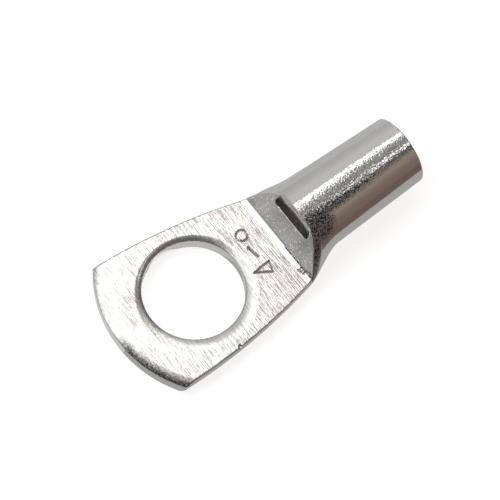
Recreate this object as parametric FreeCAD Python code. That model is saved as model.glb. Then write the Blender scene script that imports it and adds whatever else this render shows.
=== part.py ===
import FreeCAD, Part
import math
import os

# A cable lug for a small crimped conductor and an M6 terminal screw.
# It is one length of tinned copper tube. One end stays round as the barrel that the
# conductor goes into. The other end is pressed flat into a palm with a stud hole.
# Between them is the pressed step: a steep flat ramp on top, flanks that flare from the
# tube to the palm, and a sight slot where the tube wall tore open along the ramp's crest.
# Origin: centre of the stud hole, on the underside of the palm. +X runs out of the
# barrel's mouth, +Z is up, on the side of the ramp. All sizes are in millimetres.

# Palm
hole_d = 6.4            # stud hole, clears an M6 screw
palm_t = 1.25           # thickness of the two pressed walls together
tip_w = 9.5             # width across the corners of the tip
tip_back = 4.15         # stud hole centre back to the corners of the tip
tip_bulge = 1.54        # how far the cropped tip stands out past its corners
neck_w = 6.8            # width at the fold between palm and ramp
neck_reach = 6.15       # stud hole centre forward to the fold
edge_round = 0.45       # rounding under the palm's long sides
draw_depth = 0.3        # how deep punching and cropping draw the top edge in
hole_draw = 0.5         # how wide the drawn-in edge is around the hole
tip_draw = 0.3          # how wide it is along the tip

# Barrel
barrel_d = 4.6          # outside, at the mouth
tube_wall = 0.7         # of the drawn tube, around the bore
barrel_len = 8.3        # crest of the ramp to the mouth
barrel_swell = 0.44     # how much wider the barrel is where the flare starts
eye_offset = 0.52       # barrel axis to one side of the stud hole
rest_flat = 0.3         # width of the narrow flat along the barrel's underside
anvil_depth = 0.03      # skin that the anvil flattens off the underside
mouth_r = 0.25          # outer edge of the mouth
bore_edge_r = 0.12      # inner edge of the mouth

# Step between palm and barrel
ramp_deg = 70.0         # steepness of the pressed ramp
fold_r = 0.3            # inside radius of the fold
flare_len = 2.75        # from the fold to where the flanks have died into the barrel
flank_draw = 0.09       # hollow of the flanks beside the ramp, as a share of the flank's size
side_wall = 0.85        # height of the upright side at the fold
ramp_wall = 0.7         # wall left under the ramp
floor_wall = 0.55       # wall left under the flattened end of the bore

# Sight slot
slot_len = 3.1          # across the lug
slot_lip_z = 3.2        # height of the ramp's free edge
slot_gap = 0.34         # from the ramp's free edge to the tube's end, along X
slot_end_r = 0.3        # rounding of the slot's two ends

station_gap = 1.0       # spacing of the sections that the body is lofted through
arc_steps = 6           # points on each quarter of a section, less one

# Values worked out from the driving sizes
hole_r = hole_d / 2
bore_r = barrel_d / 2 - tube_wall
axis_z = barrel_d / 2
ramp_tan = math.tan(math.radians(ramp_deg))
ramp_sin = math.sin(math.radians(ramp_deg))
ramp_cos = math.cos(math.radians(ramp_deg))
crest_x = neck_reach + (barrel_d - palm_t) / ramp_tan
mouth_x = crest_x + barrel_len
round_x = neck_reach + flare_len
tip_r = ((tip_w / 2) ** 2 + tip_bulge ** 2) / (2 * tip_bulge)
tip_x = -(tip_back + tip_bulge)
lip_x = neck_reach + (slot_lip_z - palm_t) / ramp_tan
tube_end = lip_x + slot_gap
bore_end = neck_reach + (axis_z + bore_r - palm_t) / ramp_tan + ramp_wall / ramp_sin
clear = barrel_d + tip_w        # reach of a cutting tool past the metal
ramp_over = 0.1                 # how far the slot runs on into the bore
crop_over = 1.25                # how far the drawn-in edge runs on past the tip's corners
cavity_flat = 0.1               # narrow floor of the cavity's sections
bore_lap = 0.4                  # how far the flattened end runs on inside the round bore
lap_step = 0.04                 # how much smaller it starts than the round bore
fine = 1e-4                     # closeness at which two points count as one
mouth_close = 1e-3              # closeness of an edge's box to the mouth's plane


def V(x, y, z):
    return FreeCAD.Vector(x, y, z)


def mix(a, b, t):
    return a + (b - a) * t


def smooth(t):
    """0 to 1 with flat ends."""
    t = max(0.0, min(1.0, t))
    return t * t * (3 - 2 * t)


# Laws of the outside, each a function of the place x along the lug

def half_width(x):
    """Half the width: a parabola along the palm, a cubic through the flare, a cone on the barrel."""
    neck = neck_w / 2
    tip = tip_w / 2
    start = (barrel_d + barrel_swell) / 2
    cone = -barrel_swell / 2 / (mouth_x - round_x)
    palm_len = neck_reach + tip_back
    if x <= neck_reach:
        u = max(0.0, (x + tip_back) / palm_len)
        return tip - (tip - neck) * u * u
    if x >= round_x:
        return start + cone * (x - round_x)
    slope = -2 * (tip - neck) / palm_len
    u = (x - neck_reach) / flare_len
    from_neck = neck * (2 * u ** 3 - 3 * u ** 2 + 1) + slope * flare_len * (u ** 3 - 2 * u ** 2 + u)
    to_barrel = start * (3 * u ** 2 - 2 * u ** 3) + cone * flare_len * (u ** 3 - u ** 2)
    return from_neck + to_barrel


def centre_y(x):
    """Middle of the width: on the stud hole at the tip, on the barrel's axis from the fold on."""
    u = (x + tip_back) / (neck_reach + tip_back)
    return -eye_offset * max(0.0, min(1.0, u))


def widest_z(x):
    """Height of the widest line: low on the palm, at the axis on the barrel."""
    return mix(side_wall, axis_z, smooth((x - neck_reach) / flare_len))


def half_flat(x):
    """Half the flat underside: nearly the whole palm, narrowing to a strip under the barrel."""
    palm = half_width(x) - edge_round
    return mix(palm, rest_flat / 2, smooth((x - neck_reach) / flare_len))


def flank_hollow(x):
    """How far the flank is drawn in from an ellipse: not at all on the barrel, most at the fold."""
    if x <= neck_reach:
        return mix(0.0, flank_draw, smooth((x - neck_reach + flare_len) / flare_len))
    return mix(flank_draw, 0.0, smooth((x - neck_reach) / (crest_x - neck_reach)))


def arc_points(x, mid_y, inner, outer, level, end, hollow, side):
    """Points from the widest line (outer, level) round to (inner, end), on one side."""
    points = []
    for i in range(arc_steps + 1):
        angle = math.pi / 2 * i / arc_steps
        drawn = hollow * math.sin(2 * angle) ** 2
        across = math.cos(angle) - drawn
        up = math.sin(angle) - drawn
        points.append(V(x, mid_y + side * mix(inner, outer, across), mix(level, end, up)))
    return points


def smooth_edge(points, start, end):
    """Smooth edge through the points, with the same even knots in every section."""
    curve = Part.BSplineCurve()
    even = [i / arc_steps for i in range(arc_steps + 1)]
    curve.interpolate(Points=points, Parameters=even, InitialTangent=start, FinalTangent=end)
    return curve.toShape()


def ring(x, mid, wide, flat, low, level, high, hollow):
    """Closed outline across the lug: a flat underside, two corners and two flanks."""
    up = V(0, 0, 1)
    right = V(0, 1, 0)
    edges = []
    for side in (1, -1):
        corner = arc_points(x, mid, flat, wide, level, low, 0.0, side)
        flank = arc_points(x, mid, 0.0, wide, level, high, hollow, side)
        edges.append(smooth_edge(corner[::-1], right * side, up))
        edges.append(smooth_edge(flank, up, right * -side))
    underside = Part.LineSegment(V(x, mid - flat, low), V(x, mid + flat, low)).toShape()
    right_corner, right_flank, left_corner, left_flank = edges
    return Part.Wire([underside, right_corner, right_flank, left_flank, left_corner])


def outer_section(x):
    """Outline of the flared tube."""
    deep = -anvil_depth
    return ring(x, centre_y(x), half_width(x), half_flat(x), deep, widest_z(x), barrel_d, flank_hollow(x))


def inner_section(x):
    """Outline of the cavity where the bore flattens towards the fold."""
    start = bore_end + bore_lap
    small_r = bore_r - lap_step
    u = smooth((start - x) / (start - neck_reach))
    wide = mix(small_r, neck_w / 2 - ramp_wall, u)
    low = mix(axis_z - small_r, floor_wall, u)
    level = mix(axis_z, palm_t, u)
    return ring(x, -eye_offset, wide, cavity_flat / 2, low, level, axis_z + small_r, 0.0)


def loft(section, start, end):
    """Solid through evenly spaced sections."""
    count = math.ceil((end - start) / station_gap)
    return Part.makeLoft([section(mix(start, end, k / count)) for k in range(count + 1)], True, False)


# Tools that press, crop and cut the blank

def prism(edges):
    """Solid right across the lug, from a closed outline in the XZ plane."""
    face = Part.Face(Part.Wire(edges))
    face.translate(V(0, -clear, 0))
    return face.extrude(V(0, 2 * clear, 0))


def polygon(points):
    """Edges of a closed outline in the XZ plane."""
    corners = [V(x, 0, z) for x, z in points]
    return Part.makePolygon(corners + corners[:1]).Edges


def press_die():
    """Everything above the palm and the ramp, with the fold rounded, up to the tube's cut end."""
    half_turn = math.radians(ramp_deg) / 2
    back = fold_r * math.tan(half_turn)
    centre = V(neck_reach - back, 0, palm_t + fold_r)
    on_palm = V(neck_reach - back, 0, palm_t)
    on_arc = centre + V(fold_r * math.sin(half_turn), 0, -fold_r * math.cos(half_turn))
    on_ramp = V(neck_reach + back * ramp_cos, 0, palm_t + back * ramp_sin)
    ramp_end = V(tube_end, 0, palm_t + (tube_end - neck_reach) * ramp_tan)
    over_end = V(tube_end, 0, palm_t + clear)
    over_tip = V(tip_x - clear, 0, palm_t + clear)
    past_tip = V(tip_x - clear, 0, palm_t)
    return prism([
        Part.Arc(on_palm, on_arc, on_ramp).toShape(),
        Part.LineSegment(on_ramp, ramp_end).toShape(),
        Part.LineSegment(ramp_end, over_end).toShape(),
        Part.LineSegment(over_end, over_tip).toShape(),
        Part.LineSegment(over_tip, past_tip).toShape(),
        Part.LineSegment(past_tip, on_palm).toShape(),
    ])


def drawn_edge(edge, inward, width):
    """Profile above a drawn-in top edge: a quarter ellipse from the cut face up to the palm."""
    inset = V(edge + inward * width, 0, palm_t)
    foot = V(edge, 0, palm_t - draw_depth)
    past = edge - inward * width
    curve = Part.BezierCurve()
    curve.setPoles([inset, V(edge, 0, palm_t), foot])
    curve.setWeight(2, math.sin(math.pi / 4))
    corners = [foot, V(past, 0, foot.z), V(past, 0, palm_t + width), V(inset.x, 0, palm_t + width), inset]
    return Part.Face(Part.Wire([curve.toShape()] + Part.makePolygon(corners).Edges))


def tip_crop():
    """What the crop takes off: all outside the tip's arc, and the drawn-in top edge along it."""
    centre = V(tip_x + tip_r, 0, 0)
    box = Part.makeBox(clear + tip_r, 2 * clear, 2 * clear, V(tip_x - clear, -clear, -clear))
    outside = box.cut(Part.makeCylinder(tip_r, 2 * clear, centre - V(0, 0, clear)))
    profile = drawn_edge(-tip_r, 1, tip_draw)
    spread = math.degrees(math.asin(tip_w / 2 / tip_r)) * crop_over
    profile.rotate(V(0, 0, 0), V(0, 0, 1), -spread)
    drawn_in = profile.revolve(V(0, 0, 0), V(0, 0, 1), 2 * spread)
    drawn_in.translate(centre)
    return outside.fuse(drawn_in)


def hole_punch():
    """The stud hole with its drawn-in top edge."""
    drawn_in = drawn_edge(hole_r, 1, hole_draw).revolve(V(0, 0, 0), V(0, 0, 1))
    return Part.makeCylinder(hole_r, 2 * clear, V(0, 0, -clear)).fuse(drawn_in)


def cavity():
    """The round bore and its flattened end, which keeps one wall's thickness under the ramp."""
    bore = Part.makeCylinder(bore_r, mouth_x + clear - bore_end, V(bore_end, -eye_offset, axis_z), V(1, 0, 0))
    foot = neck_reach + ramp_wall / ramp_sin - palm_t / ramp_tan
    run = clear / ramp_tan
    behind_ramp = prism(polygon([
        (foot - run, -clear), (mouth_x, -clear), (mouth_x, clear), (foot + run, clear),
    ]))
    flattened = loft(inner_section, neck_reach, bore_end + bore_lap).common(behind_ramp)
    return bore.fuse(flattened)


def sight_slot():
    """Gap between the free edge of the ramp and the end of the tube above it, into the bore."""
    deep = ramp_wall + ramp_over
    far = bore_end + ramp_over
    gap = prism(polygon([
        (lip_x, slot_lip_z),
        (lip_x + deep * ramp_sin, slot_lip_z - deep * ramp_cos),
        (far, axis_z + bore_r + lap_step),
        (tube_end, axis_z + bore_r + lap_step),
        (tube_end, palm_t + clear),
        (lip_x, palm_t + clear),
    ]))
    ends = Part.makeBox(far - lip_x, slot_len, clear, V(lip_x, -eye_offset - slot_len / 2, axis_z))
    uprights = [e for e in ends.Edges if is_upright(e)]
    return gap.common(ends.makeFillet(slot_end_r, uprights))


def is_upright(edge):
    return abs(abs(edge.tangentAt(edge.FirstParameter).z) - 1) < fine


def rounded_mouth(shape, radius, round_the_bore):
    """Fillets the outer edges of the mouth, or the edge of the bore once that is cut."""
    edges = [e for e in shape.Edges if at_mouth(e) and not (round_the_bore and off_bore(e))]
    print(len(edges), "edges of the mouth rounded to", radius, "mm")
    return shape.makeFillet(radius, edges)


def at_mouth(edge):
    return abs(edge.BoundBox.XMin - mouth_x) < mouth_close and edge.BoundBox.XLength < mouth_close


def off_bore(edge):
    end = edge.valueAt(edge.FirstParameter)
    return abs(math.hypot(end.y + eye_offset, end.z - axis_z) - bore_r) > fine


def blank():
    """The flared tube, solid: a smooth loft to where the flare has died out, then a straight cone."""
    flared = loft(outer_section, tip_x - station_gap, round_x)
    cone = Part.makeLoft([outer_section(round_x), outer_section(mouth_x)], True, True)
    return flared.fuse(cone)


def cable_lug():
    """The pressed tube, cropped, punched, slotted and bored, with its worked edges rounded."""
    anvil = Part.makeBox(2 * (mouth_x + clear), 2 * clear, clear, V(-mouth_x - clear, -clear, -clear))
    body = blank().cut(anvil).cut(press_die())
    body = body.cut(tip_crop()).cut(hole_punch())
    body = rounded_mouth(body, mouth_r, False)
    body = rounded_mouth(body.cut(cavity()), bore_edge_r, True)
    return body.cut(sight_slot())


if __name__ == "__main__":
    os.makedirs("parts", exist_ok=True)
    lug = cable_lug()
    print("solids", len(lug.Solids), "valid", lug.isValid(), "volume", round(lug.Volume, 3), "mm3")
    print("box", lug.BoundBox)
    lug.exportStep("parts/cable_lug.step")
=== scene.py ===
# %% [markdown]
# # A tinned copper cable lug
# The lug is one piece of copper tube. One end is left round for the conductor, the other is
# pressed flat for the terminal screw, and the whole is plated with tin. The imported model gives
# the frame: the origin is the centre of the stud hole on the underside, +X runs out of the
# barrel's mouth and +Z is up.

# %% Load the frame
import bpy
import math
import numpy as np
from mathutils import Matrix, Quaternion, Vector


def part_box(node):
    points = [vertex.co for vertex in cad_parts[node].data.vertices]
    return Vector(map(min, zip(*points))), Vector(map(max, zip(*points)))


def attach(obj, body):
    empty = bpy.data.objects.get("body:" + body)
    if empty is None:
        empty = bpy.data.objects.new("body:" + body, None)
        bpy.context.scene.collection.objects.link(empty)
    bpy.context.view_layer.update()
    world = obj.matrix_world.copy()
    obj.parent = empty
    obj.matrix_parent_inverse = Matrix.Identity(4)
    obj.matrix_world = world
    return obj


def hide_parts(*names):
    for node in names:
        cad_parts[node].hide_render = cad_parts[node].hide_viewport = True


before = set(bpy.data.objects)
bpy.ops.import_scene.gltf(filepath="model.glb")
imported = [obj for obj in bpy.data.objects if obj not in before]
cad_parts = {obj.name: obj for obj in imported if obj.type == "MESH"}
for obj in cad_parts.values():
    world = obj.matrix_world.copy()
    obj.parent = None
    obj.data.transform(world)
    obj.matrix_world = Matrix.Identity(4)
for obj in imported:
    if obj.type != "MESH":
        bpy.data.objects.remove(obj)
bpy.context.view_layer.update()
mm = 0.001
low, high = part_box("cable_lug")
print("the lug measures", [round(v / mm, 2) for v in high - low], "mm")

# %% [markdown]
# ## The camera
# The photograph was taken with a long lens from above the tip of the palm. Its place was found
# by matching the stud hole, the corners of the palm and the outline of the barrel. A camera looks
# along its own -Z axis, so it is first turned towards the point it aims at and then rolled.

# %% Place the camera
camera_place = Vector((-37.93, -38.54, 144.63)) * mm
camera_aim = Vector((4.698, 0.314, 0.0)) * mm
camera_roll = math.radians(10.65)
lens = 180.83

camera = bpy.data.objects.new("camera", bpy.data.cameras.new("camera"))
bpy.context.scene.collection.objects.link(camera)
camera.location = camera_place
camera.rotation_mode = "QUATERNION"
towards = (camera_aim - camera_place).to_track_quat("-Z", "Y")
camera.rotation_quaternion = towards @ Quaternion((0, 0, 1), camera_roll)
camera.data.lens = lens
camera.data.clip_start = 10 * mm
camera.data.clip_end = 5000 * mm
bpy.context.scene.camera = camera
print("the camera is", round((camera_aim - camera_place).length / mm), "mm away")

# %% [markdown]
# ## The sizes of the lug
# These are the sizes that the lug was modelled with. Everything below is worked out from them.

# %% Name the sizes of the palm
hole_r = 3.2 * mm              # stud hole
palm_t = 1.25 * mm             # thickness of the two pressed walls together
tip_w = 9.5 * mm               # width across the corners of the tip
tip_back = 4.15 * mm           # stud hole back to those corners
tip_bulge = 1.54 * mm          # how far the cropped tip stands out past them
neck_w = 6.8 * mm              # width at the fold between palm and ramp
neck_reach = 6.15 * mm         # stud hole forward to the fold
edge_round = 0.45 * mm         # rounding under the palm's long sides
side_wall = 0.85 * mm          # height of the upright side at the fold

tip_r = ((tip_w / 2) ** 2 + tip_bulge ** 2) / (2 * tip_bulge)
tip_x = -(tip_back + tip_bulge)
print("the tip is an arc of", round(tip_r / mm, 2), "mm")

# %% Name the sizes of the barrel, the ramp and the slot
barrel_d = 4.6 * mm            # outside, at the mouth
barrel_swell = 0.44 * mm       # how much wider the barrel is where the flare starts
bore_r = 1.6 * mm
axis_y = -0.52 * mm            # the barrel lies to one side of the stud hole
axis_z = barrel_d / 2
ramp_angle = math.radians(70)
fold_r = 0.3 * mm              # inside radius of the fold
flare_len = 2.75 * mm          # fold to where the flanks have died into the barrel
flank_draw = 0.09              # hollow of the flanks, as a share of their size
ramp_wall = 0.7 * mm           # wall left under the ramp
floor_wall = 0.55 * mm         # wall left under the flattened end of the bore
slot_len = 3.1 * mm            # across the lug
slot_lip_z = 3.2 * mm          # height of the ramp's free edge
slot_gap = 0.34 * mm           # from that edge to the tube's end

ramp_sin, ramp_cos = math.sin(ramp_angle), math.cos(ramp_angle)
crest_x = neck_reach + (barrel_d - palm_t) * ramp_cos / ramp_sin
mouth_x = high.x
round_x = neck_reach + flare_len
bore_end = neck_reach + ((axis_z + bore_r - palm_t) * ramp_cos + ramp_wall) / ramp_sin
lip_x = neck_reach + (slot_lip_z - palm_t) * ramp_cos / ramp_sin
tube_end = lip_x + slot_gap
print("slot from", round(lip_x / mm, 2), "to", round(tube_end / mm, 2), "mm,",
      "mouth at", round(mouth_x / mm, 2), "mm")

# %% [markdown]
# ## How the tube changes along its length
# A drawn tube pressed at one end has no straight edge between the two. Its width, the height of
# its widest line and the width of its flat underside each follow a smooth law of the place along
# the lug. The laws take whole arrays, so one call covers every point.

# %% Helpers for blending
def mix(a, b, t):
    """a where t is 0, b where t is 1."""
    return a + (b - a) * t


def rising(value, start, end):
    """0 up to start, 1 from end on, and smooth between them."""
    t = np.clip((value - start) / (end - start), 0.0, 1.0)
    return t * t * (3 - 2 * t)


def falling(value, start, end):
    """1 up to start, 0 from end on, and smooth between them."""
    return 1 - rising(value, start, end)


# %% Laws of the outside
def half_width(x):
    """A parabola along the palm, a cubic through the flare and a cone on the barrel."""
    neck, tip, start = neck_w / 2, tip_w / 2, (barrel_d + barrel_swell) / 2
    cone = -barrel_swell / 2 / (mouth_x - round_x)
    palm_len = neck_reach + tip_back
    along = np.clip((x + tip_back) / palm_len, 0, None)
    palm = tip - (tip - neck) * along ** 2
    slope = -2 * (tip - neck) / palm_len
    u = np.clip((x - neck_reach) / flare_len, 0, 1)
    leaving = neck * (2 * u ** 3 - 3 * u ** 2 + 1) + slope * flare_len * (u ** 3 - 2 * u ** 2 + u)
    joining = start * (3 * u ** 2 - 2 * u ** 3) + cone * flare_len * (u ** 3 - u ** 2)
    barrel = start + cone * (x - round_x)
    return np.where(x <= neck_reach, palm, np.where(x >= round_x, barrel, leaving + joining))


def centre_y(x):
    """The middle moves from the stud hole to the barrel's axis."""
    return axis_y * np.clip((x + tip_back) / (neck_reach + tip_back), 0, 1)


def flared(x):
    """0 on the palm, 1 on the barrel."""
    return rising(x, neck_reach, round_x)


print("half width at tip, fold and mouth",
      [round(float(half_width(np.array(x))) / mm, 2) for x in (-tip_back, neck_reach, mouth_x)])

# %% [markdown]
# ## The lug as a field of distances
# Pressed and plated metal has no sharp edge anywhere, which is slow to model edge by edge. A
# field does it at once. Each tool gives the distance from its own surface at every point, below
# zero inside the metal, and two tools are joined with a rounded corner of any radius.

# %% Join two distances with a rounded corner
def cut_round(a, b, r):
    """Metal left where both are below zero, with the outer edge rounded to r."""
    return np.minimum(-r, np.maximum(a, b)) + np.hypot(np.maximum(r + a, 0), np.maximum(r + b, 0))


def join_round(a, b, r):
    """Metal where either is below zero, with the inner corner filled to r."""
    return np.maximum(r, np.minimum(a, b)) - np.hypot(np.maximum(r - a, 0), np.maximum(r - b, 0))


print("a corner rounded to 1 mm leaves out", round(float(cut_round(0.0, 0.0, 1.0)), 2),
      "mm of the sharp one")

# %% [markdown]
# Both the tube and its bore have the same kind of outline across the lug: flat below, a quarter
# of an ellipse at each lower corner, and half an ellipse above that may be drawn hollow at its
# flanks. A point's place is measured in shares of the ellipse's own half axes, and dividing by
# the slope turns the share back into a distance.

# %% One outline across the lug
tiny = 1e-9
bearing_steps = 2              # corrections that find the outline's point in line with a place


def ring_field(x, y, z, mid, wide, flat, low_z, level, high_z, hollow):
    """Distance from a closed outline across the lug."""
    side = np.abs(y - mid)
    rise = high_z - level
    u, v = side / wide, (z - level) / rise
    reach = np.hypot(u, v) + tiny
    bearing = np.arctan2(v, u)
    angle = bearing
    for _ in range(bearing_steps):
        drawn = hollow * np.sin(2 * angle) ** 2
        across, up = np.cos(angle) - drawn, np.sin(angle) - drawn
        angle = angle + bearing - np.arctan2(up, across)
    drawn = hollow * np.sin(2 * angle) ** 2
    edge = np.hypot(np.cos(angle) - drawn, np.sin(angle) - drawn)
    flank = (reach - edge) / (np.hypot(u / wide, v / rise) / reach + tiny)
    corner_w, corner_h = wide - flat, level - low_z
    u, v = np.maximum(side - flat, 0) / corner_w, (level - z) / corner_h
    reach = np.hypot(u, v) + tiny
    corner = (reach - 1) / (np.hypot(u / corner_w, v / corner_h) / reach + tiny)
    return np.where(z > level, flank, corner)


# %% [markdown]
# ## Blank, press and bore
# The tools follow each other as they do on the real lug. The blank is the flared tube, the press
# lays the palm flat and stands the ramp at 70 degrees, and the bore ends in a flattened cavity
# that keeps one wall's thickness under the ramp.

# %% Outside and cavity
rest_half = 0.15 * mm          # half the narrow flat along the barrel's underside
anvil_depth = 0.03 * mm        # skin that the anvil flattens off the underside
cavity_half = 0.05 * mm        # half the narrow floor of the cavity
cavity_edge = 0.1 * mm         # rounding of the cavity's end
bore_lap = 0.4 * mm            # how far the flattened end runs on inside the round bore


def blank_field(x, y, z):
    """The flared tube before it is pressed."""
    level = mix(side_wall, axis_z, flared(x))
    flat = mix(half_width(x) - edge_round, rest_half, flared(x))
    before = rising(x, neck_reach - flare_len, neck_reach)
    after = falling(x, neck_reach, crest_x)
    hollow = flank_draw * np.where(x <= neck_reach, before, after)
    return ring_field(x, y, z, centre_y(x), half_width(x), flat, -anvil_depth, level, barrel_d,
                      hollow)


def ramp_field(x, z):
    """Distance above the sloping face that the press leaves."""
    return -(x - neck_reach) * ramp_sin + (z - palm_t) * ramp_cos


def cavity_field(x, y, z):
    """The bore and its flattened end, one wall behind the ramp."""
    flattened = falling(x, neck_reach, bore_end + bore_lap)
    wide = mix(bore_r, neck_w / 2 - ramp_wall, flattened)
    low_z = mix(axis_z - bore_r, floor_wall, flattened)
    level = mix(axis_z, palm_t, flattened)
    hollow = ring_field(x, y, z, axis_y, wide, cavity_half, low_z, level, axis_z + bore_r, 0.0)
    return cut_round(hollow, ramp_field(x, z) + ramp_wall, cavity_edge)


print("the wall of the barrel is", round((barrel_d / 2 - bore_r) / mm, 2), "mm at the mouth")

# %% [markdown]
# ## Marks in the palm
# Three plain punch marks stand on the palm, a ring, a bar and a triangle, and a few nicks lie
# beside the fold as the press left them. They could be a bump in the material, but real grooves
# in the palm's own height catch the light like the rest of the metal.

# %% Grooves
ring_mark = (Vector((4.5, 1.03)) * mm, 0.36 * mm)
bar_mark = [(4.33, 0.14), (4.5, -0.62)]
triangle_mark = [(3.62, -1.36), (4.62, -1.98), (4.86, -1.28)]
nicks = [[(5.90, -2.82), (6.09, -2.85)], [(5.95, -2.99), (6.14, -3.02)],
         [(5.99, -3.20), (6.18, -3.23)], [(6.20, 2.36), (6.36, 2.34)],
         [(6.22, 2.16), (6.38, 2.14)], [(6.23, -3.30), (6.26, -3.62)]]
bar_extra = 0.04 * mm          # how much wider the bar is to each side than the other marks
groove_w = 0.065 * mm          # half the width of a groove
groove_depth = 0.06 * mm


def to_segment(x, y, start, end):
    """Distance in plan from a straight mark between two places in millimetres."""
    ax, ay = start[0] * mm, start[1] * mm
    dx, dy = end[0] * mm - ax, end[1] * mm - ay
    t = np.clip(((x - ax) * dx + (y - ay) * dy) / (dx * dx + dy * dy), 0, 1)
    return np.hypot(x - ax - t * dx, y - ay - t * dy)


def groove_share(x, y):
    """1 at the middle of a mark's groove, 0 beyond its edge."""
    centre, radius = ring_mark
    mark = np.abs(np.hypot(x - centre.x, y - centre.y) - radius)
    mark = np.minimum(mark, to_segment(x, y, *bar_mark) - bar_extra)
    for k in range(3):
        mark = np.minimum(mark, to_segment(x, y, triangle_mark[k - 1], triangle_mark[k]))
    for nick in nicks:
        mark = np.minimum(mark, to_segment(x, y, *nick))
    return np.clip(1 - (mark / groove_w) ** 2, 0, 1) ** 2


print(len(nicks) + 3, "marks, each", round(2 * groove_w / mm, 2), "mm wide or a little more")

# %% [markdown]
# ## Drawn-in edges
# Punching and cropping draw the top edge down into the cut, so the palm's plane sinks a little
# beside the stud hole and along the tip. The blades were not set evenly: the edge is wider on the
# near side of the hole, and deeper on the near half of the tip.

# %% Height of the palm's top
hole_draw_w = 0.66 * mm        # width of the drawn-in edge around the hole
hole_draw_gain = 0.34 * mm     # how much wider it is on the near side, and narrower on the far
hole_draw = 0.15 * mm          # how deep it is at the hole
tip_draw_w = 0.7 * mm
tip_draw = 0.18 * mm
far_tip_share = 0.7            # how deep the far half of the tip is, as a share of the near half
near_from, near_to = 0.5 * mm, -1.0 * mm    # where the far half of the tip passes to the near
draw_limit = 1.4               # how far past the edge the sinking is carried on, in widths


def drawn_at_hole(x, y):
    """1 at the hole's edge, 0 where the palm is level."""
    out = np.hypot(x, y)
    return 1 - (out - hole_r) / (hole_draw_w - hole_draw_gain * y / out)


def past_tip(x, y):
    """Distance past the arc that the tip is cropped along."""
    return np.hypot(np.minimum(x - tip_x - tip_r, 0), y) - tip_r


def drawn_at_tip(x, y):
    """1 at the tip's edge, 0 where the palm is level."""
    return 1 + past_tip(x, y) / tip_draw_w


def near_half_of(y):
    """1 on the near half of the tip, 0 on the far half."""
    return falling(y, near_to, near_from)


def palm_height(x, y):
    """Height of the palm's top, with the drawn-in edges and the marks."""
    at_hole = hole_draw * np.clip(drawn_at_hole(x, y), 0, draw_limit) ** 2
    at_tip = tip_draw * np.clip(drawn_at_tip(x, y), 0, draw_limit) ** 2
    at_tip = at_tip * mix(far_tip_share, 1, near_half_of(y))
    return palm_t - at_hole - at_tip - groove_depth * groove_share(x, y)


print("the palm's top sinks", round(float(palm_t - palm_height(-hole_r, 0.0)) / mm, 2),
      "mm at the hole and", round(float(palm_t - palm_height(tip_x, 0.0)) / mm, 2), "mm at the tip")

# %% [markdown]
# ## Slot, crop and punch
# The whole lug is the blank with one cut after another, each with the rounding that its edge has
# on the real piece. The sight slot is the gap between the ramp's free edge and the tube's end. It
# reaches down into the bore, so that the conductor can be seen before the barrel is crimped.

# %% The whole lug
under_edge = 0.06 * mm         # around the underside
press_edge = 0.07 * mm         # where the press leaves the palm and the ramp
cut_edge = 0.07 * mm           # around the tip and the stud hole
mouth_edge = 0.07 * mm
bore_edge = 0.12 * mm
slot_edge = 0.06 * mm
slot_end_r = 0.3 * mm          # rounding of the slot's two ends
way_in_lap = 0.1 * mm          # how far the way in runs on into the bore
edge_nick_y, edge_nick_r = -4.66 * mm, 0.13 * mm      # a nick in the palm's near edge


def slot_field(x, y, z):
    """The gap between the ramp's free edge and the tube's end, and its way into the bore."""
    under_lip = -((x - lip_x) * ramp_cos + (z - slot_lip_z) * ramp_sin)
    in_bore = np.hypot(y - axis_y, z - axis_z) - bore_r
    from_middle = np.abs(x - (tube_end + bore_end) / 2)
    way_in = np.maximum(in_bore, from_middle - (bore_end - tube_end) / 2 - way_in_lap)
    gap = np.maximum(np.minimum(x - tube_end, way_in), under_lip)
    return cut_round(gap, np.abs(y - axis_y) - slot_len / 2, slot_end_r)


def lug_field(x, y, z):
    """Distance from the finished lug's surface, below zero in the metal."""
    body = cut_round(blank_field(x, y, z), -z, under_edge)
    pressed = join_round(z - palm_height(x, y), ramp_field(x, z), fold_r)
    pressed = np.minimum(pressed, tube_end - x)
    body = cut_round(body, pressed, press_edge)
    body = cut_round(body, past_tip(x, y), cut_edge)
    body = cut_round(body, hole_r - np.hypot(x, y), cut_edge)
    nick = edge_nick_r - np.hypot(np.hypot(x, y - edge_nick_y), z - palm_t)
    body = cut_round(np.maximum(body, nick), x - mouth_x, mouth_edge)
    body = cut_round(body, -cavity_field(x, y, z), bore_edge)
    return cut_round(body, -slot_field(x, y, z), slot_edge)


def thickness_at(x, y):
    """Where the field says that the metal ends above a place, in millimetres."""
    heights = np.linspace(0, barrel_d, 461)
    return round(float(heights[lug_field(x, y, heights) < 0].max() / mm), 2)


print("metal up to", thickness_at(5.2 * mm, 0.0), "mm on the palm and",
      thickness_at(12 * mm, axis_y), "mm on the barrel")

# %% [markdown]
# ## From field to mesh
# The field is measured at the points of a box-shaped grid. The grid is finer where the marks, the
# fold and the slot are, which keeps the mesh small and these details sharp.

# %% Lay out the grid
def ticks(start, end, coarse, fine, fine_start, fine_end):
    """Grid lines from start to end, closer together between fine_start and fine_end."""
    lines = [start]
    while lines[-1] < end:
        near = fine_start < lines[-1] < fine_end
        lines.append(lines[-1] + (fine if near else coarse))
    return np.array(lines)


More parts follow.
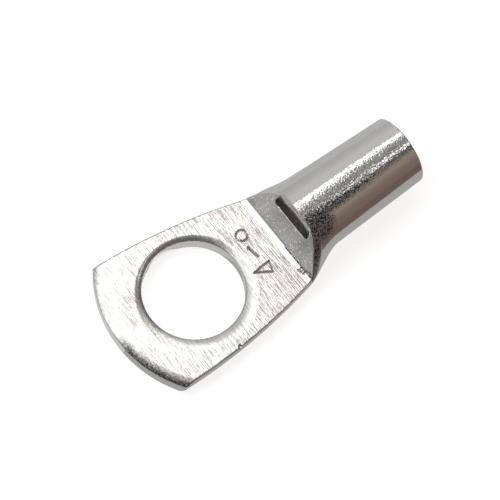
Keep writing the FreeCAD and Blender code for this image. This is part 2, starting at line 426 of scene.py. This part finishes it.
margin = 0.3 * mm              # air around the lug
fine_x = (3.5 * mm, 7.6 * mm)  # from the marks to the slot
fine_y = (-2.4 * mm, 1.6 * mm)              # across the marks and the slot
fine_z = (0.9 * mm, 4.2 * mm)  # from the palm's top to past the slot's lip
step_x, step_y, step_z = (0.1 * mm, 0.055 * mm), (0.085 * mm, 0.06 * mm), (0.08 * mm, 0.07 * mm)
grid = (
    ticks(tip_x - margin, mouth_x + margin, *step_x, *fine_x),
    ticks(low.y - margin, high.y + margin, *step_y, *fine_y),
    ticks(-margin, high.z + margin, *step_z, *fine_z),
)
gx, gy, gz = np.meshgrid(*grid, indexing="ij", sparse=True)
measured = lug_field(gx, gy, gz)
print("grid", measured.shape, "points", measured.size)

# %% [markdown]
# Every grid cell that the surface passes through gets one vertex, in the middle of its crossings.
# Every grid edge that the surface crosses gets one quad between the four cells around it, turned
# so that its front looks out of the metal.

# %% Weave the net of quads
def weave(grid, field):
    """Vertices and quads of the surface where the field is zero."""
    cells = tuple(n - 1 for n in field.shape)
    total = np.zeros((np.prod(cells), 3))
    hits = np.zeros(np.prod(cells))
    loops = []
    for axis in range(3):
        lower = np.take(field, range(cells[axis]), axis)
        upper = np.take(field, range(1, cells[axis] + 1), axis)
        crossed = (lower < 0) != (upper < 0)
        at = np.argwhere(crossed)
        share = lower[crossed] / (lower[crossed] - upper[crossed])
        point = np.stack([grid[k][at[:, k]] for k in range(3)], 1)
        step = grid[axis][at[:, axis] + 1] - grid[axis][at[:, axis]]
        point[:, axis] += share * step
        second, third = (axis + 1) % 3, (axis + 2) % 3
        around = []
        for back_2, back_3 in ((1, 1), (0, 1), (0, 0), (1, 0)):
            cell = at.copy()
            cell[:, second] -= back_2
            cell[:, third] -= back_3
            flat = np.ravel_multi_index(cell.T, cells)
            np.add.at(total, flat, point)
            np.add.at(hits, flat, 1)
            around.append(flat)
        quad = np.stack(around, 1)
        leaving = lower[crossed] < 0
        loops.append(np.where(leaving[:, None], quad, quad[:, ::-1]))
    used = np.flatnonzero(hits)
    number = np.full(len(hits), -1)
    number[used] = np.arange(len(used))
    return total[used] / hits[used, None], number[np.concatenate(loops)]


points, quads = weave(grid, measured)
print("net of", len(points), "points and", len(quads), "quads")

# %% [markdown]
# The net's points lie near the surface but not on it. Each is drawn towards the middle of its
# neighbours, which evens out the quads, and then moved along the field's slope until the field
# is zero there. The slope is also the exact direction that the metal faces, so it goes into the
# mesh as its normals and reflections run smoothly.

# %% Settle the net on the surface
probe = 0.01 * mm              # how far apart the field is read for its slope
least_slope = 0.05             # squared; keeps a step short where the field is nearly level
longest_move = 0.05 * mm
even_rounds, last_rounds = 4, 2


def slope(p):
    """Gradient of the field at each point."""
    columns = []
    for axis in range(3):
        step = np.zeros(3)
        step[axis] = probe
        ahead, behind = lug_field(*(p + step).T), lug_field(*(p - step).T)
        columns.append((ahead - behind) / (2 * probe))
    return np.stack(columns, 1)


def settle(p, rounds):
    """Moves each point along the slope to where the field is zero."""
    for _ in range(rounds):
        g = slope(p)
        length = np.maximum((g ** 2).sum(1), least_slope)
        move = -(lug_field(*p.T) / length)[:, None] * g
        far = np.linalg.norm(move, axis=1, keepdims=True)
        p = p + move * np.minimum(1, longest_move / (far + tiny))
    return p


ends = np.concatenate([quads[:, [k, (k + 1) % 4]] for k in range(4)])
for _ in range(even_rounds):
    neighbours = np.zeros_like(points)
    count = np.zeros(len(points))
    np.add.at(neighbours, ends[:, 0], points[ends[:, 1]])
    np.add.at(count, ends[:, 0], 1)
    points = settle(mix(points, neighbours / count[:, None], 0.5), 1)
points = settle(points, last_rounds)
normals = slope(points)
normals /= np.linalg.norm(normals, axis=1, keepdims=True)
print("left off the surface",
      round(float(np.abs(lug_field(*points.T)).max() / mm), 4), "mm at most")

# %% [markdown]
# The lug is one piece of metal, so it is one mesh. It takes the place of the imported model's solid
# and rides on the same body.

# %% Make the mesh
mesh = bpy.data.meshes.new("lug_body")
mesh.from_pydata(points.tolist(), [], quads.tolist())
mesh.shade_smooth()
mesh.normals_split_custom_set_from_vertices(normals.tolist())
lug = bpy.data.objects.new("lug_body", mesh)
bpy.context.scene.collection.objects.link(lug)
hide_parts("cable_lug")
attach(lug, "root")
print("lug_body has", len(mesh.polygons), "quads")

# %% [markdown]
# ## Regions of the surface
# Each kind of surface on the lug has its own finish. The regions are told apart by where a point
# lies and which way it faces, and are stored on the mesh as attributes that the material reads.
# The first are the dull bore, the ramp with the slot's sides, and the brushed top of the palm.

# %% Bore, ramp and palm
cavity_skin = 0.15 * mm        # how near the cavity's wall a point counts as inside
slot_skin = (0.02 * mm, 0.12 * mm)          # where the slot's sides pass to the outside
ramp_facing = (0.75, 0.90)     # how squarely a point faces the tip, to be on the ramp
palm_facing = (0.80, 0.95)     # how squarely it faces up, to be on the palm
fold_strip = (0.12 * mm, 0.24 * mm)         # unbrushed strip beside the fold


def region(name, mask):
    """Stores a mask on the mesh under a name."""
    mesh.attributes.new(name, "FLOAT", "POINT").data.foreach_set("value", mask.astype(np.float32))
    print(name, "covers", round(float(mask.mean()) * 100), "% of the points")


px, py, pz = points.T
nx, _, nz = normals.T
on_palm = px < neck_reach
cavity_mask = falling(np.abs(cavity_field(px, py, pz)), 0, cavity_skin) * ~on_palm
outer = 1 - cavity_mask
ramp_face = rising(-nx, *ramp_facing) * (pz > palm_t) * (px < tube_end) * outer
slot_sides = falling(np.abs(slot_field(px, py, pz)), *slot_skin) * ~on_palm * (pz > palm_t)
ramp_mask = np.maximum(ramp_face, slot_sides * outer)
palm_mask = rising(nz, *palm_facing) * on_palm * (pz > side_wall)
palm_mask = palm_mask * rising(neck_reach - px, *fold_strip) * (1 - groove_share(px, py))
region("cavity", cavity_mask)
region("ramp", ramp_mask)
region("palm", palm_mask)

# %% [markdown]
# The punch and the blade pulled the drawn-in edges thin, so they are duller than the palm; their
# grey colour is painted shade of the sunken edge, weaker on the far half of the tip.
# The marks' grooves are painted dark, and so is a small curved dent near the top of the ramp,
# which has no groove of its own in the mesh.

# %% Drawn-in edges with painted shade, and dark marks
far_tip_dull_and_shade = 0.6             # how dull and how strongly painted with shade the far half of the tip is, against the near half
dull_facing = (0, 0.4)         # how far a point must face up to be dull
full_darkness = 2 / 3              # share of a groove's depth from which it is fully dark
mark_darkness = 0.8                     # how much of the metal's own colour the painted dark hides
mark_overrun = 0.2 * mm        # how far past the fold the nicks reach
mark_facing = 0.3              # how far a point must face up to be in a mark
dent_y, dent_z, dent_r, dent_w = -2.05 * mm, 3.0 * mm, 0.13 * mm, 0.05 * mm
dent_top = 3.05 * mm

from_hole = np.clip(drawn_at_hole(px, py), 0, 1)
from_tip = np.clip(drawn_at_tip(px, py), 0, 1)
near_half = near_half_of(py)
# the drawn-in edges: one mask for their roughness and for painted shade, grey fading inwards from
# the cut edge
dull_and_shaded = np.maximum(from_hole, from_tip * mix(far_tip_dull_and_shade, 1, near_half))
region("drawn", rising(dull_and_shaded, 0, 1) * on_palm * rising(nz, *dull_facing))

marked = (px < neck_reach + mark_overrun) & (nz > mark_facing)
in_marks = rising(groove_share(px, py), 0, full_darkness) * marked
from_dent = np.abs(np.hypot(py - dent_y, pz - dent_z) - dent_r)
in_dent = np.clip(1 - from_dent / dent_w, 0, 1) * ramp_face * (pz < dent_top)
# dark painted into the grooves of the marks and along the dent's curve
region("marks_darkened", mark_darkness * np.maximum(in_marks, in_dent))

# %% [markdown]
# Lugs are plated loose in a turning drum and come out with scuffs. Here the tin is painted nearly
# black with a scuff-like mottle, partly for those scuffs and partly as painted dark reflection: in a
# patch on the near side of the flare, in a dark tail along the ramp's near rim, in a thin trail
# along the barrel, and as painted reflection only at the near half of the tip and at the far side of
# the hole. Around the tube, places are told by their bearing in degrees, from the top towards the
# near side.

# %% Scuffs and painted dark reflections
patch_x, patch_len, patch_bearing, patch_spread = 7.8 * mm, 1.5 * mm, 38, 34
tail_reach, tail_y, tail_fade = 0.55 * mm, -1.1 * mm, 0.16 * mm
trail_bearing, trail_spread = 24, 13
trail_start, trail_end, trail_fade = 7.6 * mm, 15 * mm, 5 * mm
patch_gain, trail_gain, hole_gain = 1.8, 1.1, 0.5
dark_patch_low = 0.9 * mm           # the underside lies below this and gets no dark patches
top_facing = 0.2               # how far a point must face up to be on the palm's top edge
tip_reflection_span = (0.278, 0.833)   # shares of the drawn-in edge where the painted dark band starts and is full
hole_reflection_span = (0.45, 0.95)
far_of_hole = (-0.4 * mm, 1.6 * mm)         # where the far side of the hole, with its painted dark band, begins

bearing = np.degrees(np.arctan2(axis_y - py, pz - axis_z))
patch = 1 - np.hypot((px - patch_x) / patch_len, (bearing - patch_bearing) / patch_spread)
tail = np.minimum(tail_reach + ramp_field(px, pz), tail_y - py) / tail_fade
trail = (1 - np.abs(bearing - trail_bearing) / trail_spread) * (px > trail_start)
trail = trail * np.clip((trail_end - px) / trail_fade, 0, 1)
dark_patches = np.maximum(np.maximum(patch_gain * patch, tail), trail_gain * trail)
# painted dark reflection, mottled like scuffs, on the flare, along the ramp's rim and along the
# barrel
scuff_and_reflection_mask = rising(dark_patches, 0, 1) * outer * (1 - ramp_mask) * (pz > dark_patch_low) * ~on_palm

on_top = (nz > top_facing) * on_palm
# painted reflection: dark bands on the near half of the tip's edge and on the far side of the hole's
# edge
tip_painted_reflection = rising(from_tip, *tip_reflection_span) * near_half * on_top
hole_painted_reflection = rising(from_hole, *hole_reflection_span) * rising(py - px / 2, *far_of_hole) * on_top
scuff_and_reflection_mask = np.maximum(scuff_and_reflection_mask, np.maximum(tip_painted_reflection, hole_gain * hole_painted_reflection))
region("scuffs_and_dark_reflections", scuff_and_reflection_mask)

# %% [markdown]
# The drawn tube keeps a fine grain. Its relief and dark specks are made strongest in a band along
# the top of the barrel, where the highlight falls, so there the specks are partly painted
# reflection;
# they are also strong in the scuff patches.

# %% Grain of the tube
band_start, band_end = (-16, -4), (24, 34)  # bearings where the grained band begins and ends
plain_grain, barrel_grain = 0.12, 0.08      # on the pressed part, and on the barrel off the band
scuff_grain = 2.0

highlight_band = rising(bearing, *band_start) * falling(bearing, *band_end)
grain_mask = np.where(px > tube_end, mix(barrel_grain, 1, highlight_band), plain_grain)
grain_mask = grain_mask * (1 - palm_mask) * outer
region("grained", np.maximum(grain_mask, scuff_grain * scuff_and_reflection_mask))

# %% [markdown]
# ## Node groups
# The tin uses two effects in several places. Brush strokes are noise stretched across the lug,
# and grain is fine noise that is the same in every direction. Each is a node group, so it is
# built once and set differently wherever it is placed.

# %% Helpers for nodes
def node(tree, kind, **settings):
    """A new shader node with its settings."""
    made = tree.nodes.new("ShaderNode" + kind)
    for name, value in settings.items():
        setattr(made, name, value)
    return made


def math_node(tree, operation, first, second, clamp=False):
    """A Math node, each input being a number or a socket."""
    made = node(tree, "Math", operation=operation, use_clamp=clamp)
    for socket, value in zip(made.inputs, (first, second)):
        if isinstance(value, (int, float)):
            socket.default_value = value
        else:
            tree.links.new(value, socket)
    return made.outputs[0]


def plus(tree, first, second, clamp=False):
    return math_node(tree, "ADD", first, second, clamp)


def minus(tree, first, second):
    return math_node(tree, "SUBTRACT", first, second)


def times(tree, first, second, clamp=False):
    return math_node(tree, "MULTIPLY", first, second, clamp)


# %% Helpers for groups
def new_group(name, inputs, outputs):
    """An empty node group with named number sockets, and its input and output nodes."""
    group = bpy.data.node_groups.new(name, "ShaderNodeTree")
    for label, value in inputs.items():
        socket = group.interface.new_socket(label, in_out="INPUT",
                                            socket_type="NodeSocketFloat")
        socket.default_value = value
    for label in outputs:
        group.interface.new_socket(label, in_out="OUTPUT", socket_type="NodeSocketFloat")
    return group, group.nodes.new("NodeGroupInput"), group.nodes.new("NodeGroupOutput")


def noise_in(tree, across, along, detail):
    """Noise with its own number of cells per millimetre along X, and along Y and Z."""
    place = node(tree, "TexCoord")
    mapping = node(tree, "Mapping", vector_type="POINT")
    mapping.inputs["Scale"].default_value = (across / mm, along / mm, along / mm)
    noise = node(tree, "TexNoise")
    noise.inputs["Scale"].default_value = 1.0
    noise.inputs["Detail"].default_value = detail
    tree.links.new(place.outputs["Object"], mapping.inputs["Vector"])
    tree.links.new(mapping.outputs["Vector"], noise.inputs["Vector"])
    return noise.outputs["Fac"]


# %% [markdown]
# The palm was brushed across its length. The strokes are long thin cells of noise, broken up by
# shorter crumbs, and slow patches of noise make them denser in one place than in another. The
# group puts out their height for the relief, and the dark streaks for the colour, which paint in
# the reflection of the dark room that the strokes show.

# %% Brush strokes
line_cells, crumb_cells, patch_cells = (12.0, 0.9), (12.0, 5.0), (0.9, 0.8)   # per millimetre
line_share, crumb_share = 0.7, 0.3
unevenness = 0.2

strokes, strokes_in, strokes_out = new_group(
    "brush_strokes", {"Sharpness": 6.0, "Share": 0.5}, ["Height", "Streaks"])
fine_lines = noise_in(strokes, *line_cells, detail=2.0)
crumbs = noise_in(strokes, *crumb_cells, detail=1.0)
patches = noise_in(strokes, *patch_cells, detail=1.0)
uneven = times(strokes, minus(strokes, patches, 0.5), unevenness)
height = plus(strokes, times(strokes, fine_lines, line_share), times(strokes, crumbs, crumb_share))
over = minus(strokes, plus(strokes, height, uneven), strokes_in.outputs["Share"])
streaks = times(strokes, over, strokes_in.outputs["Sharpness"], clamp=True)
strokes.links.new(height, strokes_out.inputs["Height"])
strokes.links.new(streaks, strokes_out.inputs["Streaks"])
print("brush strokes have", len(strokes.nodes), "nodes")

# %% [markdown]
# Grain is two fine noises. One is the height of the skin, the other gives specks, and the share
# sets how much of the skin they leave clear.

# %% Grain
skin_cells, speck_cells = 8.0, 9.0          # per millimetre
speck_contrast = 12.0

grain, grain_in, grain_out = new_group("grain", {"Share": 0.5}, ["Height", "Specks"])
height = noise_in(grain, skin_cells, skin_cells, detail=1.0)
mottle = noise_in(grain, speck_cells, speck_cells, detail=1.0)
over = minus(grain, mottle, grain_in.outputs["Share"])
specks = times(grain, over, speck_contrast, clamp=True)
grain.links.new(height, grain_out.inputs["Height"])
grain.links.new(specks, grain_out.inputs["Specks"])
print("grain has", len(grain.nodes), "nodes")

# %% [markdown]
# ## Tin plate
# Tin over drawn copper is a bright, slightly warm grey metal. Its finish changes from region to
# region, so the material reads the masks and places the two groups: the strokes once, and the
# grain twice, as the skin of the tube and as bright spatter on the ramp.

# %% Start the tin material
tin = bpy.data.materials.new("tin_plate")
tin.use_nodes = True
plate = tin.node_tree
shader = plate.nodes["Principled BSDF"]
shader.inputs["Metallic"].default_value = 1
lug.data.materials.append(tin)


def mask_of(name):
    """A region of the mesh as a value."""
    return node(plate, "Attribute", attribute_name=name).outputs["Fac"]


def placed(group, **values):
    """A node group placed in the tin with its own values."""
    made = node(plate, "Group", node_tree=group)
    for name, value in values.items():
        made.inputs[name].default_value = value
    return made.outputs


brush = placed(strokes, Share=0.445, Sharpness=5.5)
skin = placed(grain, Share=0.47)
spatter = placed(grain, Share=0.61)
regions = ("palm", "ramp", "grained", "scuffs_and_dark_reflections", "drawn", "marks_darkened", "cavity")
palm, ramp, grained, scuffs_and_dark_reflections, drawn, marks_darkened, cavity = (mask_of(name) for name in regions)
print("the tin reads", len(regions), "regions")

# %% [markdown]
# The colours lie over each other from the most common to the rarest. The strokes on the palm are
# brown-grey as painted reflection, the drawn-in edges grey as painted shade, the grain grey with its
# specks as painted reflection in the highlight band, the scuffs and painted dark reflections nearly
# black between brighter specks, the ramp dull grey with bright spatter, the marks dark, and the bore
# warm.

# %% Colours of the tin
tin_colour = (0.86, 0.85, 0.835)
stroke_reflection_colour = (0.44, 0.40, 0.375)
drawn_shade_colour = (0.50, 0.49, 0.48)
grain_colour = (0.45, 0.44, 0.43)
scuff_and_reflection_colour = (0.07, 0.07, 0.075)
ramp_colour = (0.40, 0.40, 0.385)
mark_colour = (0.20, 0.17, 0.15)
cavity_colour = (0.80, 0.76, 0.71)
drawn_shade_strength, grain_strength = 0.6, 0.7
scuff_and_reflection_base, scuff_and_reflection_specks = 0.6, 0.4         # how dark a painted dark patch is, and what its specks add


def mix_colour(share, first, second):
    """Mixes two colours, each a socket or three numbers, by a share."""
    made = node(plate, "Mix", data_type="RGBA")
    plate.links.new(share, made.inputs["Factor"])
    for socket, value in ((made.inputs["A"], first), (made.inputs["B"], second)):
        if isinstance(value, tuple):
            socket.default_value = (*value, 1)
        else:
            plate.links.new(value, socket)
    return made.outputs["Result"]


grainy = times(plate, skin["Specks"], times(plate, grained, grain_strength, clamp=True))
dark = plus(plate, times(plate, skin["Specks"], scuff_and_reflection_specks), scuff_and_reflection_base)
# painted reflection: brown-grey streaks along the palm's brush strokes, over their real relief
colour = mix_colour(times(plate, brush["Streaks"], palm), tin_colour, stroke_reflection_colour)
# painted shade: grey on the drawn-in edges around the hole and along the tip
colour = mix_colour(times(plate, drawn, drawn_shade_strength), colour, drawn_shade_colour)
# grain specks; strongest in the highlight band along the barrel's top, where they are painted
# reflection
colour = mix_colour(grainy, colour, grain_colour)
# painted dark reflection with a scuff-like mottle, nearly black
colour = mix_colour(times(plate, dark, scuffs_and_dark_reflections), colour, scuff_and_reflection_colour)
colour = mix_colour(ramp, colour, ramp_colour)
colour = mix_colour(times(plate, spatter["Specks"], ramp), colour, tin_colour)
# the marks and the dent on the ramp painted dark
colour = mix_colour(marks_darkened, colour, mark_colour)
colour = mix_colour(cavity, colour, cavity_colour)
plate.links.new(colour, shader.inputs["Base Color"])
print("the colour alone takes", len(plate.nodes), "nodes")

# %% [markdown]
# The barrel is the smoothest. Brushing, pressing and drawing roughen the other regions by steps,
# and a bump of a hundredth of a millimetre gives the strokes and the grain their relief.

# %% Roughness and relief of the tin
plain_roughness = 0.10
added_roughness = ((palm, 0.10), (ramp, 0.22), (cavity, 0.25), (drawn, 0.12))
grain_relief, scuff_relief = 1.1, 1.8       # against the brush strokes
relief_depth = 0.012 * mm

rough = plain_roughness
for mask, share in added_roughness:
    rough = plus(plate, rough, times(plate, mask, share), clamp=True)
plate.links.new(rough, shader.inputs["Roughness"])

skin_height = times(plate, skin["Height"], times(plate, grained, grain_relief))
scuff_height = times(plate, skin["Specks"], times(plate, scuffs_and_dark_reflections, scuff_relief))
relief = plus(plate, plus(plate, times(plate, brush["Height"], palm), skin_height), scuff_height)
bump = node(plate, "Bump")
bump.inputs["Strength"].default_value = 1.0
bump.inputs["Distance"].default_value = relief_depth
plate.links.new(relief, bump.inputs["Height"])
plate.links.new(bump.outputs["Normal"], shader.inputs["Normal"])
print("tin plate has", len(plate.nodes), "nodes")

# %% [markdown]
# ## Floor
# The floor is plain white paper. A little light of its own, for what the camera and the metal see
# of it, keeps the background white, and the shadow under the lug stays.

# %% Helpers for the studio
room_reach = 1000              # how far the floor and the cards reach, in millimetres
black, white = (0, 0, 0), (1, 1, 1)


def stage_sheet(name, corners):
    """A flat sheet of the studio between four corners in millimetres."""
    shape = bpy.data.meshes.new(name)
    shape.from_pydata([Vector(corner) * mm for corner in corners], [], [(0, 1, 2, 3)])
    sheet = bpy.data.objects.new(name, shape)
    bpy.context.scene.collection.objects.link(sheet)
    return sheet


def dull_finish(sheet, name, base, glow):
    """A finish without any gloss that gives off light of its own. Returns its nodes."""
    finish = bpy.data.materials.new(name)
    finish.use_nodes = True
    face = finish.node_tree.nodes["Principled BSDF"]
    face.inputs["Base Color"].default_value = (*base, 1)
    face.inputs["Specular IOR Level"].default_value = 0
    face.inputs["Emission Color"].default_value = (*glow, 1)
    face.inputs["Emission Strength"].default_value = 1
    sheet.data.materials.append(finish)
    return finish.node_tree


# %% Floor
paper_tone = (0.5, 0.5, 0.5)
paper_glow = 0.78

floor = stage_sheet("floor", [(-room_reach, -room_reach, 0), (room_reach, -room_reach, 0),
                              (room_reach, room_reach, 0), (-room_reach, room_reach, 0)])
paper = dull_finish(floor, "white_paper", paper_tone, white)
rays = node(paper, "LightPath").outputs
seen = plus(paper, rays["Is Camera Ray"], rays["Is Glossy Ray"])
seen = plus(paper, seen, rays["Is Transmission Ray"], clamp=True)
paper.links.new(times(paper, seen, paper_glow),
                paper.nodes["Principled BSDF"].inputs["Emission Strength"])
print("the floor is", 2 * room_reach, "mm square")

# %% [markdown]
# ## Light
# Bright metal looks like what it reflects, so the lamps are shaped for their reflections. One
# large soft box above the tip whitens the palm, two strips draw the white lines along the barrel,
# and a weaker box beyond the tip fills the ends. Their glow is 0.8 to 1.6 times the paper's.

# %% Soft boxes
white_watts = 4                # per square metre, at which a lamp is as bright as white paper


def softbox(name, middle, towards, width, depth, glow):
    """A soft light at a place in millimetres, glow 1 being as bright as white paper."""
    data = bpy.data.lights.new(name, "AREA")
    data.shape = "RECTANGLE"
    data.size, data.size_y = width * mm, depth * mm
    data.energy = glow * white_watts * data.size * data.size_y
    lamp = bpy.data.objects.new(name, data)
    bpy.context.scene.collection.objects.link(lamp)
    lamp.location = Vector(middle) * mm
    aim = Vector(towards) - Vector(middle)
    lamp.rotation_euler = aim.to_track_quat("-Z", "Y").to_euler()
    lamp.visible_camera = False
    print(name, "is", width, "by", depth, "mm")


softbox("palm_softbox", (-40, 90, 250), (-40, 90, 0), 240, 108, 1.15)
softbox("rim_strip", (171, 120, 250), (171, 120, 0), 178, 54, 1.5)
softbox("front_strip", (164, -62, 250), (164, -62, 0), 152, 24, 1.6)
softbox("tip_softbox", (-260, 115, 200), (0, 115, 0), 200, 240, 0.8)

# %% [markdown]
# A round bright tube also needs something darker to reflect, or it turns into a white patch. Flat
# cards do that. Three lie along the lug, grey behind it and below it and brown in front. One each
# tones the hole's wall and the tip, and one stands beyond the mouth for the barrel's end. Only
# reflections see them, so they neither show in the picture nor shade the paper.

# %% Cards
strip_lift, patch_lift = 0.02, 0.03         # above the paper, in millimetres
back_y, under_y, brown_y = 3.8, 3.0, -8.8   # where the strips along the lug begin


def card(name, corners, tone):
    """A flat card between four corners in millimetres, seen only in reflections."""
    sheet = stage_sheet(name, corners)
    dull_finish(sheet, name, black, tone)
    sheet.visible_camera = sheet.visible_diffuse = sheet.visible_shadow = False


def lying(x_start, x_end, y_near, y_far, lift):
    """Corners of a card that lies on the paper."""
    return [(x_start, y_near, lift), (x_end, y_near, lift),
            (x_end, y_far, lift), (x_start, y_far, lift)]


card("back_card", lying(-room_reach, room_reach, back_y, room_reach, strip_lift),
     (0.50, 0.50, 0.49))
card("under_card", lying(-room_reach, room_reach, under_y, brown_y, strip_lift),
     (0.40, 0.395, 0.385))
card("brown_card", lying(-room_reach, room_reach, brown_y, -room_reach, strip_lift),
     (0.16, 0.11, 0.095))
card("hole_card", lying(-3, 3, -3, 3, patch_lift), (0.54, 0.54, 0.53))
card("tip_card", lying(-room_reach, -3, -0.4, room_reach, patch_lift), (0.60, 0.60, 0.60))
card("mouth_card", [(400, -150, 0), (400, 300, 0), (400, 300, 500), (400, -150, 500)],
     (0.20, 0.18, 0.17))

# %% [markdown]
# ## Room
# The rest of what the metal reflects is the room. It goes from warm brown in front of the lug to
# pale grey behind it, by a ramp over the direction's Y, and the camera itself sees plain white.

# %% Room
room_tones = [(0.0, (0.16, 0.11, 0.09)), (0.08, (0.22, 0.17, 0.14)), (0.17, (0.32, 0.26, 0.22)),
              (0.24, (0.16, 0.14, 0.13)), (0.32, (0.14, 0.13, 0.13)), (0.42, (0.30, 0.29, 0.28)),
              (0.60, (0.36, 0.35, 0.34)), (0.78, (0.58, 0.58, 0.57)), (0.88, (0.56, 0.56, 0.55)),
              (0.94, (0.48, 0.48, 0.47)), (1.0, (0.42, 0.42, 0.41))]

world = bpy.data.worlds.new("studio")
world.use_nodes = True
bpy.context.scene.world = world
room = world.node_tree
place = node(room, "TexCoord")
parts = node(room, "SeparateXYZ")
room.links.new(place.outputs["Generated"], parts.inputs["Vector"])
side = times(room, plus(room, parts.outputs["Y"], 1.0), 0.5)
tones = node(room, "ValToRGB")
stops = tones.color_ramp.elements
for stop, (position, tone) in zip((stops[0], stops[1]), (room_tones[0], room_tones[-1])):
    stop.position, stop.color = position, (*tone, 1)
for position, tone in room_tones[1:-1]:
    stops.new(position).color = (*tone, 1)
room.links.new(side, tones.inputs["Fac"])

backdrop = node(room, "Mix", data_type="RGBA")
backdrop.inputs["B"].default_value = (*white, 1)
room.links.new(node(room, "LightPath").outputs["Is Camera Ray"], backdrop.inputs["Factor"])
room.links.new(tones.outputs["Color"], backdrop.inputs["A"])
room.links.new(backdrop.outputs["Result"], room.nodes["Background"].inputs["Color"])
print("the room has", len(stops), "tones")

# %% [markdown]
# ## Finish
# The Standard view shows each colour about as it is written.

# %% Finish
bpy.context.scene.view_settings.view_transform = "Standard"
